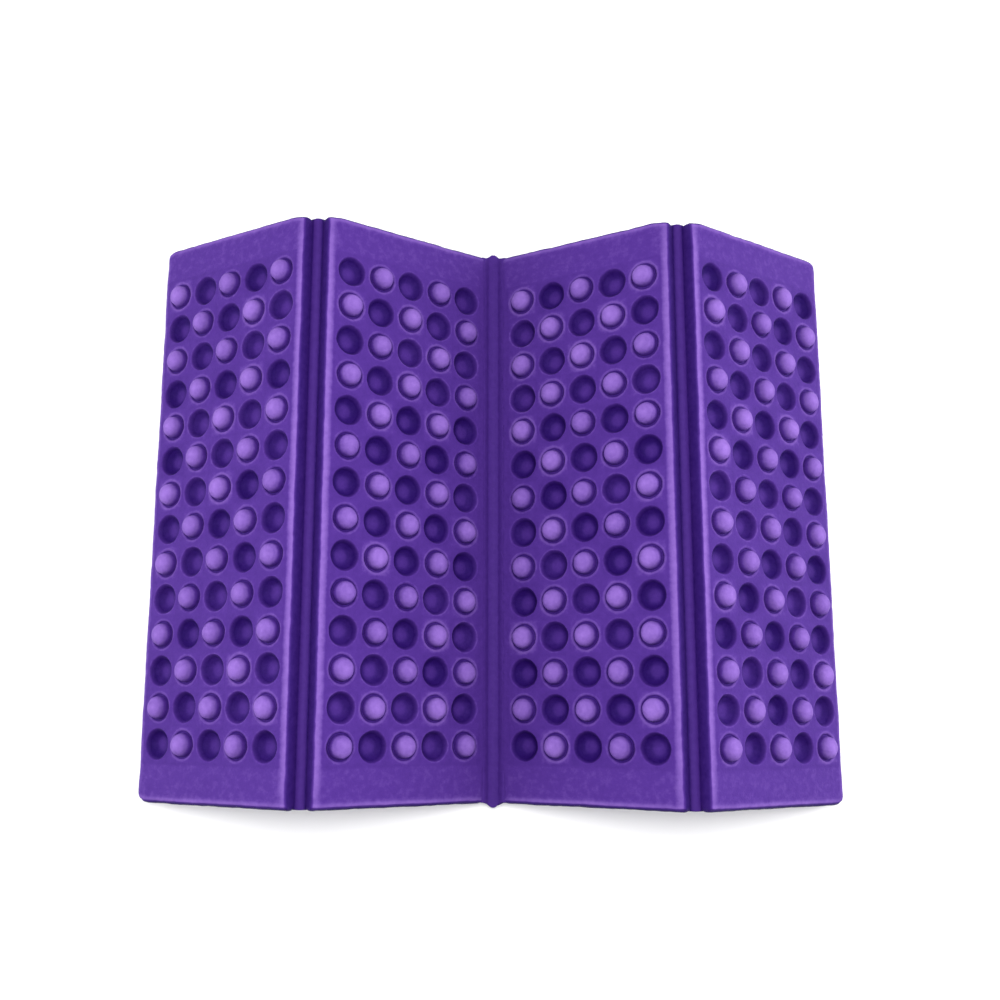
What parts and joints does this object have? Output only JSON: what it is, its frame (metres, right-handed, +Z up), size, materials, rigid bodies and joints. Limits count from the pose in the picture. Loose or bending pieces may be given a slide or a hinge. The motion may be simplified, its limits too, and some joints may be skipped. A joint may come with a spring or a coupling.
{
  "type": "folding kneeling pad",
  "caption": "Folding foam kneeling pad: long panels with a moulded checkerboard of bumps and dimples on both faces, joined by thin living-hinge webs in a zigzag.",
  "frame": {"origin": "on the ground, under the middle of the centre fold, with the pad standing in its zigzag", "axes": "+X across the folds to the right, +Y along the folds, +Z up"},
  "size_m": [0.35, 0.288, 0.0575],
  "materials": {
    "foam_panel": "matt purple closed-cell foam with a fine moulded skin",
    "foam_web": "the same foam pressed thin, slightly smoother and darker"
  },
  "bodies": {
    "left_outer": {"left_outer_panel": "foam_panel"},
    "left_inner": {"left_inner_panel": "foam_panel", "left_fold_web": "foam_web", "centre_fold_web": "foam_web"},
    "right_inner": {"right_inner_panel": "foam_panel", "right_fold_web": "foam_web"},
    "right_outer": {"right_outer_panel": "foam_panel"}
  },
  "joints": [
    {"name": "left_fold", "type": "hinge", "parent": "left_inner", "child": "left_outer", "pos_m": [-0.09024, 0, 0.05197], "axis": [0, 1, 0], "range_deg": [-114, 66], "deforming": ["left_fold_web"]},
    {"name": "centre_fold", "type": "hinge", "parent": "left_inner", "child": "right_inner", "pos_m": [0, 0, 0.0041], "axis": [0, 1, 0], "range_deg": [-114, 66], "deforming": ["centre_fold_web"]},
    {"name": "right_fold", "type": "hinge", "parent": "right_inner", "child": "right_outer", "pos_m": [0.09024, 0, 0.05197], "axis": [0, 1, 0], "range_deg": [-66, 114], "deforming": ["right_fold_web"]}
  ]
}
